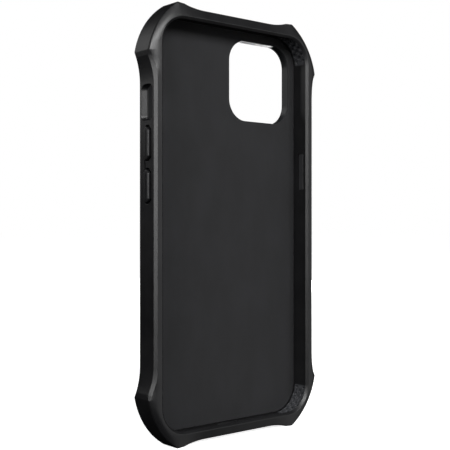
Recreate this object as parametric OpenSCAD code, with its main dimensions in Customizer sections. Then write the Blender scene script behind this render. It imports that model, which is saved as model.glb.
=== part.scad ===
// Rugged phone case with flared corner wings, empty, standing on its lower wings.
// +Z runs up the length of the phone, X across its width and -Y faces out of the screen.
// The origin is on the floor, under the middle of the case. All sizes are in millimetres.

/* [Phone pocket] */
// Width of the phone that the pocket holds
phone_w = 71.5; // [70:0.1:73]
// Length of the phone that the pocket holds
phone_l = 146.7; // [145:0.1:148.5]
// Thickness of the phone that the pocket holds
phone_t = 7.65; // [7.4:0.05:8]
// Radius of the pocket's corners
pocket_r = 11; // [10:0.1:12]
// Gap between the phone and each pocket wall
pocket_gap = 0.1; // [0.05:0.05:0.2]

/* [Bumper frame] */
// Thickness of the long walls
side_wall = 2.28; // [2:0.01:2.6]
// Thickness of the top and bottom walls
end_wall = 2.9; // [2.6:0.1:3.2]
// Height of the front lip above the screen
lip_rise = 0.9; // [0.6:0.1:1.2]
// How far the lip reaches in over the screen
lip_reach = 1.35; // [1:0.05:1.8]
// Width of the lip's inner slope
lip_slope = 0.86; // [0.6:0.02:1]
// Width of the bevel along the front edge of the long walls
front_bevel = 0.93; // [0.6:0.01:1.2]
// Depth of the outer wall's front edge behind the screen
front_edge = 0.3; // [0.2:0.1:0.6]
// Depth of the outer wall's rear edge behind the screen
rear_edge = 8.5; // [8:0.1:8.8]
// Width of the bevel around the back
rear_bevel = 1.15; // [0.8:0.05:1.4]

/* [Corner wings] */
// How far a wing stands out past the long wall
wing_side_out = 1.97; // [1:0.01:3]
// How far a wing stands out past the end wall
wing_end_out = 1.5; // [1:0.1:2.5]
// Distance of a wing's side ridge from the middle, along the length
wing_side_at = 59.65; // [58:0.05:61]
// Distance of a wing's end ridge from the middle, across the width
wing_end_at = 27.6; // [26.5:0.1:28.5]
// Radius of the convex face between the two ridges of a wing
wing_r = 27; // [22:1:40]
// Radius of the scoop that rises from the long wall to a wing
side_scoop_r = 27; // [25:1:30]
// Radius of the scoop that rises from the end wall to a wing
end_scoop_r = 31.4; // [30:0.1:34]

/* [Side keys] */
// Length of a volume key
volume_key_l = 11.2; // [9:0.1:12]
// Length of the power key
power_key_l = 16.4; // [12:0.1:18]
// Width of every key
key_w = 3.2; // [2.8:0.1:3.6]
// Height of a key above the wall
key_proud = 0.8; // [0.4:0.1:1]
// Travel of a key when it is pressed
key_travel = 0.4; // [0.2:0.05:0.4]
// Volume up key's middle above the middle of the phone
volume_up_at = 28.05; // [26:0.05:29]
// Volume down key's middle above the middle of the phone
volume_down_at = 13.35; // [11:0.05:14]
// Power key's middle above the middle of the phone
power_at = 21; // [15:0.5:28]

/* [Openings] */
// Length of the ring switch opening
switch_l = 12.5; // [10:0.1:13]
// Ring switch opening's middle above the middle of the phone
switch_at = 42.1; // [41:0.1:43]
// Width of the charging port opening
port_w = 12.6; // [11:0.1:14]
// Height of the charging port opening
port_h = 6; // [5:0.1:6.5]
// Length of each speaker slot
speaker_l = 13.4; // [10:0.1:15]
// Width of each speaker slot
speaker_w = 2.4; // [1.6:0.1:3]
// Side of the square camera opening
camera_side = 30.4; // [29:0.1:31]
// Camera opening's middle, across from the middle of the phone
camera_x = 17.2; // [16.8:0.1:17.2]
// Camera opening's middle, above the middle of the phone
camera_z = 54.8; // [54.2:0.1:54.8]

/* [Back] */
// Thickness of the soft lining in the pocket
lining_t = 0.42; // [0.3:0.02:0.5]
// Thickness of the hard back shell
shell_t = 1.78; // [1.7:0.02:2]
// Thickness of the woven inlay
inlay_t = 0.4; // [0.35:0.05:0.5]
// Height of the camera guard above the back
guard_rise = 1.5; // [1:0.1:2]
// Width of the camera guard's rim
guard_rim = 2.2; // [1.8:0.1:2.4]

/* [Magnets] */
// Outer radius of the magnet ring
magnet_ro = 27.4; // [27:0.1:27.6]
// Inner radius of the magnet ring
magnet_ri = 23; // [22.8:0.1:24]
// Thickness of each magnet
magnet_t = 0.55; // [0.4:0.05:0.6]

/* [Hidden] */
$fn = 48;
// A small overshoot for cuts, and the tolerance of the zone tests
eps = 0.01;
// How far a cutter runs past the surface that it cuts
past = 2;

// Steps along each scoop and along each wing's arc, and along each corner of the lip
scoop_steps = 8;
arc_steps = 14;
mouth_steps = 10;

// Half sizes of the plain walls, of the pocket and of the lip's opening
side_x = phone_w / 2 + side_wall;
end_z = phone_l / 2 + end_wall;
pocket_x = phone_w / 2 + pocket_gap;
pocket_z = phone_l / 2 + pocket_gap;
mouth_x = phone_w / 2 - lip_reach;
mouth_z = phone_l / 2 - lip_reach;
mouth_r = pocket_r - lip_reach - pocket_gap;
// Width of the flat land on top of the lip
lip_land = 0.18;
// How far the lip's opening is cut past its edge into the pocket
mouth_in = 0.5;
// Corner radius of the frame's back edge
back_r = 14;

// Wing ridges and the ends of the scoops that rise to them
wing_x = side_x + wing_side_out;
wing_z = end_z + wing_end_out;
side_scoop_start = 48.5;
side_scoop_end = 57.85;
end_scoop_start = 15.5;
end_scoop_end = 24.9;
// Heights of the frame's points along the plain part of a long wall, and place of those on an end wall
wall_points = [8, 28];
end_point = 5;

// The wall's front edge falls back by a dip where a scoop meets its wing
side_dip = 0.75;
end_dip = 0.7;
end_edge = 0.5;
wing_edge = 0.8;
// The wall's rear edge lies further back by this on a wing
wing_rear_out = 0.6;
// Width of the bevel along the front of a scoop, and the share of the rise where it gets that narrow
scoop_bevel = 0.9;
scoop_bevel_from = 0.22;
// Width from a wing's front edge in to the crease of its face
wing_crease = 0.28;
// Depth of that crease at the head of a side scoop, at the side ridge and at the end ridge
scoop_crease_at = -0.1;
side_crease_at = 0.05;
end_crease_at = 0.25;

// Depths behind the screen: lining, shell and back face
lining_gap = 0.05;
lining_at = phone_t + lining_gap;
lining_trim = 0.25;
shell_at = lining_at + lining_t;
back_at = shell_at + shell_t;
guard_at = back_at + guard_rise;
// Depth of the middle of the phone's side, where its keys and sockets are
side_mid = 3.98;

// The whole case's depth, and the screen's place in the part's frame
case_depth = lip_rise + guard_at;
screen_y = lip_rise - case_depth / 2;
// Height of the middle of the phone above the floor
mid_z = wing_z;

// Shell tongue that the frame is moulded around
ledge_in = 0.85;
tongue_out = 0.65;
tongue_set = 0.48;
tongue_at = shell_at + tongue_set;
tongue_t = 0.7;

// Inlay and its recess in the shell
inlay_x = 31.5;
inlay_z = 69.5;
inlay_r = 7;
inlay_clear = 0.8;
adhesive_t = 0.1;
adhesive_inset = 0.6;
inlay_sink = 0.05;
inlay_at = back_at - inlay_sink - inlay_t;
adhesive_at = inlay_at - adhesive_t;
fit_gap = 0.1;

// Camera opening and guard
camera_half = camera_side / 2;
camera_r = 8;
guard_neck = 1;
guard_chamfer = 0.7;
trim_w = 0.8;
trim_t = 0.4;
trim_sink = 0.05;

// Magnet array
magnet_count = 18;
magnet_gap_deg = 2.6;
shield_t = 0.25;
magnet_at = adhesive_at - magnet_t - shield_t;
carrier_rim = 0.6;
carrier_ro = magnet_ro + carrier_rim;
carrier_ri = magnet_ri - carrier_rim;
bar_magnet_w = 6;
bar_magnet_l = 16;
bar_magnet_z = -41;

// Corner shock pads
pad_t = 1.5;
pad_front = 1.2;
pad_back = 7.1;
pad_turn = 80;
pad_cell_r = 0.85;
pad_cell_deep = 0.9;
pad_cells = 6;
pad_rows = 3;
pad_play = 0.02;

// Side keys: recess, web and the pad inside
key_gap = 0.58;
key_sunk = 1.03;
key_spare = 0.05;
key_floor = side_x - key_sunk;
key_under = key_floor + key_travel + key_spare;
key_chamfer = 0.45;
key_point = 1.15;
key_point_in = 0.4;
recess_point = key_point + 0.3;
web_set = 0.5;
web_in = pocket_x + web_set;
stem_w = 1.5;
stem_inset = 1.6;
stem_gap = 0.15;
pad_lip = 0.5;
pad_clear = 0.04;
pad_seat = 0.02;
// The gasket is smaller than its key, with a slot for the key's stem
gasket_short = 1;
gasket_narrow = 0.3;
gasket_slot = 0.2;

// Groove in the wall that links the two volume keys
groove_deep = 0.5;
groove_w = 0.6;
groove_l = 4;
groove_at = 1.4;

// Ring switch opening, a little behind the middle of the side
switch_w = 6.52;
switch_r = 2;
switch_back = 0.29;
// Its rear wall slopes by this far in from the side, while it comes this far forward
switch_slope_in = 1.42;
switch_slope_d = 1.35;

// Speaker slots beside the charging port
speaker_at = 18.5;
slot_flat = 0.05;

// Colours
tpu = "#1c1c1e";
hard = "#202124";
cloth = "#2a2b2e";
metal = "#8b8f95";

// ---- Helpers ----

function lerp(a, b, t) = a + (b - a) * t;

function clamp01(t) = max(0, min(1, t));

function ease(t) = t * t * (3 - 2 * t);

function flip(list) = [for (i = [len(list) - 1:-1:0]) list[i]];

// Place a child, drawn about the middle of the screen, in the part's frame
module at_screen() {
    translate([0, screen_y, mid_z]) children();
}

// A plate in the plane of the screen, from one depth to another, from a flat outline in x and z
module plate(front, back) {
    translate([0, back, 0]) rotate([90, 0, 0]) linear_extrude(back - front) children();
}

// An exact rounded rectangle
module rounded(half_x, half_z, r) {
    square([2 * half_x, 2 * (half_z - r)], center = true);
    square([2 * (half_x - r), 2 * half_z], center = true);
    for (sx = [-1, 1]) {
        for (sz = [-1, 1]) {
            translate([sx * (half_x - r), sz * (half_z - r)]) circle(r);
        }
    }
}

// Middle of a ring of points
function middle(ring) = [for (p = ring) 1] * ring / len(ring);

// A closed solid through rings of points, each ring going the same way round its own middle
module loft(rings) {
    n = len(rings[0]);
    last = len(rings) - 1;
    points = concat([for (ring = rings) for (p = ring) p], [middle(rings[0]), middle(rings[last])]);
    walls = [
        for (k = [0:last - 1])
            for (i = [0:n - 1])
                let (j = (i + 1) % n)
                    each [
                        [k * n + i, (k + 1) * n + j, k * n + j],
                        [k * n + i, (k + 1) * n + i, (k + 1) * n + j]
                    ]
    ];
    middle_at = (last + 1) * n;
    caps = [
        for (i = [0:n - 1])
            let (j = (i + 1) % n)
                each [
                    [middle_at, i, j],
                    [middle_at + 1, last * n + j, last * n + i]
                ]
    ];
    polyhedron(points, concat(walls, caps), convexity = 12);
}

// ---- Outline of the bumper, one quarter as [x, z], then all round ----

function side_scoop_x(z) =
    let (rise = max(0, z - side_scoop_start))
        side_x + side_scoop_r - sqrt(side_scoop_r * side_scoop_r - rise * rise);

function end_scoop_z(x) =
    let (rise = max(0, x - end_scoop_start))
        end_z + end_scoop_r - sqrt(end_scoop_r * end_scoop_r - rise * rise);

// Middle of the arc between the two ridges of a wing
ridge_a = [wing_x, wing_side_at];
ridge_b = [wing_end_at, wing_z];
ridge_mid = (ridge_a + ridge_b) / 2;
ridge_half = norm(ridge_b - ridge_a) / 2;
ridge_dir = (ridge_b - ridge_a) / norm(ridge_b - ridge_a);
wing_c = ridge_mid
    - [ridge_dir[1], -ridge_dir[0]] * sqrt(wing_r * wing_r - ridge_half * ridge_half);
wing_from = atan2(ridge_a[1] - wing_c[1], ridge_a[0] - wing_c[0]);
wing_to = atan2(ridge_b[1] - wing_c[1], ridge_b[0] - wing_c[0]);

function wing_point(t) =
    let (a = lerp(wing_from, wing_to, t))
        wing_c + wing_r * [cos(a), sin(a)];

quarter = concat(
    [for (z = wall_points) [side_x, z]],
    [for (i = [0:scoop_steps])
        let (z = lerp(side_scoop_start, side_scoop_end, i / scoop_steps))
            [side_scoop_x(z), z]],
    [for (i = [0:arc_steps]) wing_point(i / arc_steps)],
    [for (i = [0:scoop_steps])
        let (x = lerp(end_scoop_end, end_scoop_start, i / scoop_steps))
            [x, end_scoop_z(x)]],
    [[end_point, end_z]]
);

function mirrored(list, sx, sz) = [for (p = list) [sx * p[0], sz * p[1]]];

outline = concat(
    quarter,
    flip(mirrored(quarter, -1, 1)),
    mirrored(quarter, -1, -1),
    flip(mirrored(quarter, 1, -1))
);

// Zone of an outline point: 0 on a long wall, 1 on a wing, 2 on an end wall
function zone(p) =
    abs(p[1]) < wing_side_at - eps ? 0 :
    abs(p[0]) < wing_end_at - eps ? 2 : 1;

// How far up the rise to a wing a point is, from 0 on the plain wall to 1 at the ridge
function side_rise(p) =
    clamp01((abs(p[1]) - side_scoop_start) / (wing_side_at - side_scoop_start));

function end_rise(p) =
    clamp01((abs(p[0]) - end_scoop_start) / (wing_end_at - end_scoop_start));

// How far round a wing a point is, from its side ridge to its end ridge
function wing_turn(p) =
    clamp01((abs(p[1]) - wing_side_at) / (wing_z - wing_side_at));

// Shares of the rise at which the scoops end and the bevels up to the ridges start
side_share = side_rise([wing_x, side_scoop_end]);
end_share = end_rise([end_scoop_end, wing_z]);

// Fall of the front edge along a scoop, from 0 at its start to 1 at its end
function dip(rise, share) = rise > share + eps ? 0 : pow(rise / share, 3);

// Depth of the wall's front edge
function edge_depth(p) =
    zone(p) == 0 ? front_edge + side_dip * dip(side_rise(p), side_share) :
    zone(p) == 2 ? end_edge + end_dip * dip(end_rise(p), end_share) :
    lerp(wing_edge, end_edge, wing_turn(p));

// Width from the wall's front edge in to the crease of the front face
function crease_width(p) =
    zone(p) == 0 ? lerp(front_bevel, scoop_bevel, clamp01(side_rise(p) / scoop_bevel_from)) :
    wing_crease;

function crease_depth(p) =
    zone(p) == 0 ? lerp(-lip_rise, scoop_crease_at, ease(side_rise(p))) :
    zone(p) == 2 ? end_crease_at :
    lerp(side_crease_at, end_crease_at, wing_turn(p));

// Share of the short way from a scoop's end to its ridge
function tip_share(rise, share) = clamp01((rise - share) / (1 - share));

// Depth of the wall's rear edge
function rear_depth(p) =
    rear_edge + wing_rear_out * (
        zone(p) == 0 ? tip_share(side_rise(p), side_share) :
        zone(p) == 2 ? tip_share(end_rise(p), end_share) : 1
    );

// Unit step from an outline point towards the inside
function inward(p) =
    let (s = [sign(p[0]), sign(p[1])], q = [abs(p[0]), abs(p[1])])
        zone(p) == 0 ? [-s[0], 0] :
        zone(p) == 2 ? [0, -s[1]] :
        let (d = (wing_c - q) / norm(wing_c - q)) [s[0] * d[0], s[1] * d[1]];

// The point of a rounded rectangle that lies level with an outline point
function level_with(p, half_x, half_z, r) =
    let (
        q = [abs(p[0]), abs(p[1])],
        c = [half_x - r, half_z - r],
        a = atan2(q[1] - c[1], q[0] - c[0]),
        e = q[1] <= c[1] ? [half_x, q[1]] :
            q[0] <= c[0] ? [q[0], half_z] :
            c + r * [cos(a), sin(a)]
    )
        [sign(p[0]) * e[0], sign(p[1]) * e[1]];

// ---- Bumper frame ----

module bumper_skin() {
    back_ring = [
        for (p = outline)
            let (e = level_with(p, side_x - rear_bevel, end_z - rear_bevel, back_r))
                [e[0], back_at, e[1]]
    ];
    rear_ring = [for (p = outline) [p[0], rear_depth(p), p[1]]];
    front_ring = [for (p = outline) [p[0], edge_depth(p), p[1]]];
    crease_ring = [
        for (p = outline)
            let (e = p + inward(p) * crease_width(p))
                [e[0], crease_depth(p), e[1]]
    ];
    land = lip_slope + lip_land;
    lip_ring = [
        for (p = outline)
            let (e = level_with(p, mouth_x + land, mouth_z + land, mouth_r + land))
                [e[0], -lip_rise, e[1]]
    ];
    loft([back_ring, rear_ring, front_ring, crease_ring, lip_ring]);
}

// The opening that the screen shows through, with its sloped edge
module mouth_cut() {
    grow = lip_slope / lip_rise;
    function mouth_ring(depth) =
        let (
            more = -grow * depth,
            r = mouth_r + more,
            cx = mouth_x - mouth_r,
            cz = mouth_z - mouth_r
        )
            [
                for (k = [0:3])
                    for (i = [0:mouth_steps])
                        let (
                            a = 90 * (k + i / mouth_steps),
                            sx = (k == 0 || k == 3) ? 1 : -1,
                            sz = k < 2 ? 1 : -1
                        )
                            [sx * cx + r * cos(a), depth, sz * cz + r * sin(a)]
            ];
    loft([mouth_ring(mouth_in), mouth_ring(-lip_rise - past)]);
}

// A key's outline: a long bar with pointed ends, in depth and height
module key_outline(length, width, point) {
    polygon([
        [-width / 2, length / 2 - point],
        [-width / 2 + point, length / 2],
        [width / 2 - point, length / 2],
        [width / 2, length / 2 - point],
        [width / 2, -length / 2 + point],
        [width / 2 - point, -length / 2],
        [-width / 2 + point, -length / 2],
        [-width / 2, -length / 2 + point]
    ]);
}

// Draw a flat outline in depth and height on the wall on one side, from one distance out to another
module on_wall(side, z, from, to) {
    translate([side > 0 ? from : -to, side_mid, z])
        rotate([90, 0, 90])
            linear_extrude(to - from) children();
}

// The ring switch opening's outline, with its rear side moved forward
module switch_shape(forward) {
    translate([switch_back - forward / 2, 0])
        rounded((switch_w - forward) / 2, switch_l / 2, switch_r);
}

// The ring switch opening, its rear wall sloped for a fingertip
module switch_cut() {
    slope_at = side_x - switch_slope_in;
    on_wall(-1, switch_at, pocket_x - past, side_x + past) switch_shape(switch_slope_d);
    hull() {
        on_wall(-1, switch_at, slope_at - eps, slope_at) switch_shape(switch_slope_d);
        on_wall(-1, switch_at, side_x, side_x + past) switch_shape(0);
    }
}

// The recess, the stem's slot and the inner pocket of one key
module key_cut(side, z, length) {
    gap = 2 * key_gap;
    on_wall(side, z, key_floor, side_x + past) key_outline(length + gap, key_w + gap, recess_point);
    slot_l = length - 2 * stem_inset + 2 * stem_gap;
    on_wall(side, z, pocket_x - past, key_floor + eps)
        square([stem_w + 2 * stem_gap, slot_l], center = true);
    on_wall(side, z, pocket_x - past, web_in)
        square([stem_w + 2 * pad_lip + 2 * stem_gap, slot_l + 2 * pad_lip], center = true);
}

module end_slot(x, width, height) {
    translate([x, side_mid, -end_z - past])
        linear_extrude(end_wall + 2 * past)
            rounded(width / 2, height / 2, height / 2 - slot_flat);
}

module corner_pad_room(sx, sz) {
    plate(pad_front - pad_play, pad_back + pad_play) pad_outline(sx, sz, pocket_r + pad_t + pad_play);
}

// Fan that covers one pocket corner, out to a radius
module pad_outline(sx, sz, r) {
    spare = (90 - pad_turn) / 2;
    reach = 2 * r;
    translate([sx * (pocket_x - pocket_r), sz * (pocket_z - pocket_r)])
        mirror([sx < 0 ? 1 : 0, 0])
            mirror([0, sz < 0 ? 1 : 0])
                intersection() {
                    circle(r);
                    polygon([
                        [0, 0],
                        reach * [cos(spare), sin(spare)],
                        reach * [1, 1],
                        reach * [sin(spare), cos(spare)]
                    ]);
                }
}

module bumper_frame() {
    color(tpu) at_screen() difference() {
        bumper_skin();
        mouth_cut();
        plate(0, shell_at) rounded(pocket_x, pocket_z, pocket_r);
        plate(shell_at - eps, back_at + past)
            rounded(pocket_x - ledge_in, pocket_z - ledge_in, pocket_r - ledge_in);
        plate(tongue_at, tongue_at + tongue_t)
            rounded(pocket_x + tongue_out, pocket_z + tongue_out, pocket_r + tongue_out);
        key_cut(-1, volume_up_at, volume_key_l);
        key_cut(-1, volume_down_at, volume_key_l);
        key_cut(1, power_at, power_key_l);
        on_wall(-1, (volume_up_at + volume_down_at) / 2, side_x - groove_deep, side_x + past)
            translate([groove_at, 0]) square([groove_w, groove_l], center = true);
        switch_cut();
        end_slot(0, port_w, port_h);
        end_slot(-speaker_at, speaker_l, speaker_w);
        end_slot(speaker_at, speaker_l, speaker_w);
        for (sx = [-1, 1]) {
            for (sz = [-1, 1]) {
                corner_pad_room(sx, sz);
            }
        }
    }
}

// ---- Back ----

module camera_shape(grow) {
    translate([camera_x, camera_z])
        rounded(camera_half + grow, camera_half + grow, camera_r + grow);
}

module inlay_shape(grow) {
    difference() {
        rounded(inlay_x + grow, inlay_z + grow, inlay_r + grow);
        camera_shape(guard_rim + inlay_clear - grow);
    }
}

module back_shell() {
    color(hard) at_screen() difference() {
        union() {
            plate(shell_at, back_at)
                rounded(pocket_x - ledge_in, pocket_z - ledge_in, pocket_r - ledge_in);
            plate(tongue_at, tongue_at + tongue_t)
                rounded(pocket_x + tongue_out, pocket_z + tongue_out, pocket_r + tongue_out);
        }
        plate(adhesive_at, back_at + past) inlay_shape(fit_gap);
        plate(shell_at - past, back_at + past) camera_shape(0);
        plate(back_at - guard_neck, back_at + past) camera_shape(guard_neck);
        plate(magnet_at, back_at) difference() {
            circle(carrier_ro + fit_gap);
            circle(carrier_ri - fit_gap);
        }
        plate(magnet_at, back_at) translate([0, bar_magnet_z])
            square([bar_magnet_w + 2 * fit_gap, bar_magnet_l + 2 * fit_gap], center = true);
    }
}

module back_inlay() {
    color(cloth) at_screen() plate(inlay_at, inlay_at + inlay_t) inlay_shape(0);
}

module inlay_adhesive() {
    color("#55585c") at_screen() plate(adhesive_at, inlay_at) inlay_shape(-adhesive_inset);
}

module pocket_lining() {
    color("#33363b") at_screen() plate(lining_at, shell_at) difference() {
        rounded(pocket_x - lining_trim, pocket_z - lining_trim, pocket_r - lining_trim);
        camera_shape(0);
    }
}

module camera_guard() {
    color(hard) at_screen() difference() {
        union() {
            plate(back_at - guard_neck, back_at) camera_shape(guard_neck);
            plate(back_at, guard_at - guard_chamfer) camera_shape(guard_rim);
            plate(guard_at - guard_chamfer - eps, guard_at - guard_chamfer / 2)
                camera_shape(guard_rim - guard_chamfer / 3);
            plate(guard_at - guard_chamfer / 2 - eps, guard_at) camera_shape(guard_rim - guard_chamfer);
        }
        plate(shell_at - past, guard_at + past) camera_shape(0);
        plate(guard_at - trim_t, guard_at + past) camera_shape(trim_w);
    }
}

module camera_trim() {
    color(metal) at_screen() plate(guard_at - trim_t, guard_at - trim_sink) difference() {
        camera_shape(trim_w);
        camera_shape(0);
    }
}

// ---- Magnets ----

module magnet_sector(index, grow) {
    step = 360 / magnet_count;
    half = step / 2 - magnet_gap_deg / 2;
    reach = 2 * magnet_ro;
    rotate(index * step) difference() {
        intersection() {
            circle(magnet_ro + grow, $fn = 96);
            polygon([[0, 0], reach * [cos(half), -sin(half)], reach * [cos(half), sin(half)]]);
        }
        circle(magnet_ri - grow, $fn = 96);
    }
}

module ring_magnet(index) {
    color(metal) at_screen() plate(magnet_at, magnet_at + magnet_t) magnet_sector(index, 0);
}

module magnet_carrier() {
    color("#3c3f44") at_screen() plate(magnet_at, magnet_at + magnet_t) difference() {
        circle(carrier_ro, $fn = 96);
        circle(carrier_ri, $fn = 96);
        for (index = [1:magnet_count]) {
            magnet_sector(index, 0);
        }
    }
}

module magnet_shield() {
    color("#6d7177") at_screen() plate(magnet_at + magnet_t, magnet_at + magnet_t + shield_t) difference() {
        circle(carrier_ro, $fn = 96);
        circle(carrier_ri, $fn = 96);
    }
}

module alignment_magnet() {
    color(metal) at_screen() plate(magnet_at, adhesive_at)
        translate([0, bar_magnet_z]) square([bar_magnet_w, bar_magnet_l], center = true);
}

// ---- Corner shock pads ----

module corner_pad(sx, sz) {
    turn = pad_turn / pad_cells;
    color("#3a3d42") at_screen() difference() {
        plate(pad_front, pad_back) difference() {
            pad_outline(sx, sz, pocket_r + pad_t);
            translate([sx * (pocket_x - pocket_r), sz * (pocket_z - pocket_r)]) circle(pocket_r);
        }
        translate([sx * (pocket_x - pocket_r), 0, sz * (pocket_z - pocket_r)])
            for (row = [0:pad_rows - 1]) {
                for (cell = [0:pad_cells - 1 - row % 2]) {
                    angle = (90 - pad_turn) / 2 + turn * (cell + 0.5 + 0.5 * (row % 2));
                    translate([0, lerp(pad_front, pad_back, (row + 0.5) / pad_rows), 0])
                        rotate([0, atan2(sx * cos(angle), sz * sin(angle)), 0])
                            cylinder(h = pocket_r + pad_cell_deep, r = pad_cell_r, $fn = 24);
                }
            }
    }
}

// ---- Side keys, each drawn for one side of the case ----

module key(side, z, length) {
    function bar(out, shrink) =
        let (
            w = key_w / 2 - shrink,
            l = length / 2 - shrink,
            c = key_point - shrink * key_point_in
        )
            [
                for (p = [[-w, l - c], [-w, c - l], [c - w, -l], [w - c, -l],
                          [w, c - l], [w, l - c], [w - c, l], [c - w, l]])
                    [out, p[0] + side_mid, p[1] + z]
            ];
    top = side_x + key_proud;
    mirror([side < 0 ? 1 : 0, 0, 0])
        loft([bar(key_under, 0), bar(top - key_chamfer, 0), bar(top, key_chamfer)]);
    on_wall(side, z, web_in - pad_seat, key_under + eps)
        square([stem_w, length - 2 * stem_inset], center = true);
}

module key_pad(side, z, length) {
    on_wall(side, z, pocket_x + pad_clear, web_in - pad_seat)
        square([stem_w + 2 * pad_lip, length - 2 * stem_inset + 2 * pad_lip], center = true);
}

module key_gasket(side, z, length) {
    on_wall(side, z, key_floor, key_under) difference() {
        key_outline(length - gasket_short, key_w - gasket_narrow, key_point);
        square([stem_w + gasket_slot, length - 2 * stem_inset + gasket_slot], center = true);
    }
}

module volume_up_key() {
    color(hard) at_screen() key(-1, volume_up_at, volume_key_l);
}

module volume_up_pad() {
    color(tpu) at_screen() key_pad(-1, volume_up_at, volume_key_l);
}

module volume_up_gasket() {
    color(tpu) at_screen() key_gasket(-1, volume_up_at, volume_key_l);
}

module volume_down_key() {
    color(hard) at_screen() key(-1, volume_down_at, volume_key_l);
}

module volume_down_pad() {
    color(tpu) at_screen() key_pad(-1, volume_down_at, volume_key_l);
}

module volume_down_gasket() {
    color(tpu) at_screen() key_gasket(-1, volume_down_at, volume_key_l);
}

module power_key() {
    color(hard) at_screen() key(1, power_at, power_key_l);
}

module power_pad() {
    color(tpu) at_screen() key_pad(1, power_at, power_key_l);
}

module power_gasket() {
    color(tpu) at_screen() key_gasket(1, power_at, power_key_l);
}

bumper_frame();
back_shell();
back_inlay();
inlay_adhesive();
pocket_lining();
camera_guard();
camera_trim();
magnet_carrier();
magnet_shield();
alignment_magnet();
corner_pad(-1, 1);  // corner_pad_top_left
corner_pad(1, 1);  // corner_pad_top_right
corner_pad(-1, -1);  // corner_pad_bottom_left
corner_pad(1, -1);  // corner_pad_bottom_right
volume_up_key();
volume_up_pad();
volume_up_gasket();
volume_down_key();
volume_down_pad();
volume_down_gasket();
power_key();
power_pad();
power_gasket();
ring_magnet(1);  // ring_magnet_01
ring_magnet(2);  // ring_magnet_02
ring_magnet(3);  // ring_magnet_03
ring_magnet(4);  // ring_magnet_04
ring_magnet(5);  // ring_magnet_05
ring_magnet(6);  // ring_magnet_06
ring_magnet(7);  // ring_magnet_07
ring_magnet(8);  // ring_magnet_08
ring_magnet(9);  // ring_magnet_09
ring_magnet(10);  // ring_magnet_10
ring_magnet(11);  // ring_magnet_11
ring_magnet(12);  // ring_magnet_12
ring_magnet(13);  // ring_magnet_13
ring_magnet(14);  // ring_magnet_14
ring_magnet(15);  // ring_magnet_15
ring_magnet(16);  // ring_magnet_16
ring_magnet(17);  // ring_magnet_17
ring_magnet(18);  // ring_magnet_18
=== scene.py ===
import math

import bmesh
import bpy
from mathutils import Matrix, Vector


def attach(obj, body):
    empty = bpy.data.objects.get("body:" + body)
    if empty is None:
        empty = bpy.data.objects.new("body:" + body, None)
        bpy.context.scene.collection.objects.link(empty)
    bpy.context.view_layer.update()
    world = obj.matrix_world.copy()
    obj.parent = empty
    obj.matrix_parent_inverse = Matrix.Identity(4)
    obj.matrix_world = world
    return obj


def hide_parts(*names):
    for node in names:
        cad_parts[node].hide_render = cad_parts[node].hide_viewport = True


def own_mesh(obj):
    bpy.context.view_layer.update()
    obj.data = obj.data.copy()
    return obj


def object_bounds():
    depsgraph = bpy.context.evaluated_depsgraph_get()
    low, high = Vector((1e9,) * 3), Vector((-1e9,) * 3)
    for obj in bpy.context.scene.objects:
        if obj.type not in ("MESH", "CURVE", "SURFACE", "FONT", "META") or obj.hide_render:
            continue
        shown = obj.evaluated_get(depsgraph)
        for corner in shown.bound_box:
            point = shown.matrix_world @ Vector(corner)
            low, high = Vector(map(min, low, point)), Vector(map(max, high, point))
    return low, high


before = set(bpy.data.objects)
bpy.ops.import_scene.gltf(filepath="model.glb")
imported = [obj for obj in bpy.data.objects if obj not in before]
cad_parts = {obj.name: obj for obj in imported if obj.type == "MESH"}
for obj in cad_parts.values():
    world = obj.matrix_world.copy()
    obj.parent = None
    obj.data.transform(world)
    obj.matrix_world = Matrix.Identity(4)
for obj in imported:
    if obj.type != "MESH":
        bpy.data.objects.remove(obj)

cad_low, cad_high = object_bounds()

# ---------------------------------------- sizes, in millimetres, as in the CAD source

MM = 0.001
LOW, HIGH = ([round(v / MM, 3) for v in point] for point in (cad_low, cad_high))

# Half widths, half heights and corner radii of the phone's pocket, the mouth over its screen and the walls
LAP = 1.45
POCKET_X, POCKET_Z, POCKET_R = 35.85, 73.45, 11.0
MOUTH_X, MOUTH_Z, MOUTH_R = POCKET_X - LAP, POCKET_Z - LAP, POCKET_R - LAP
SIDE_X, END_Z, BACK_R = 38.03, 76.25, 14.0

# The wings, their ridges, and the scoops beside the ridges
WING_X, WING_Z, WING_R = HIGH[0], HIGH[2] / 2, 27.0
SIDE_RIDGE, END_RIDGE = 59.65, 27.6
SIDE_SCOOP_R, SIDE_SCOOP_FROM, SIDE_SCOOP_TO = 27.0, 48.5, 57.85
END_SCOOP_R, END_SCOOP_FROM, END_SCOOP_TO = 31.4, 15.5, 24.9

# The lip round the screen, and the ledge that holds the back shell
LIP, LIP_SLOPE, LIP_LAND, LEDGE = 0.9, 0.86, 0.18, 0.85

# The screen's middle in the part's frame, and depths behind the screen
SCREEN_Y, MID_Z = round(LOW[1] + LIP, 3), WING_Z
SIDE_MID, REAR_EDGE, REAR_BEVEL = 3.98, 8.5, 1.15
LINING_AT, SHELL_AT, BACK_AT, GUARD_AT = 7.70, 8.12, 9.90, round(HIGH[1] - SCREEN_Y, 3)

# The camera opening, its guard and trim, and the woven inlay round it
CAMERA_X, CAMERA_Z, CAMERA_HALF, CAMERA_R = 17.2, 54.8, 15.2, 8.0
GUARD_RIM, GUARD_NECK, GUARD_CHAMFER = 2.2, 1.0, 0.7
TRIM_W, TRIM_T, TRIM_SUNK = 0.8, 0.4, 0.05
INLAY_X, INLAY_Z, INLAY_R, INLAY_AT, INLAY_T = 31.5, 69.5, 7.0, 9.45, 0.4
INLAY_CLEAR, INLAY_ROUND, INLAY_BEVEL, ADHESIVE_AT = 0.8, 0.12, 0.07, 9.35

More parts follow.
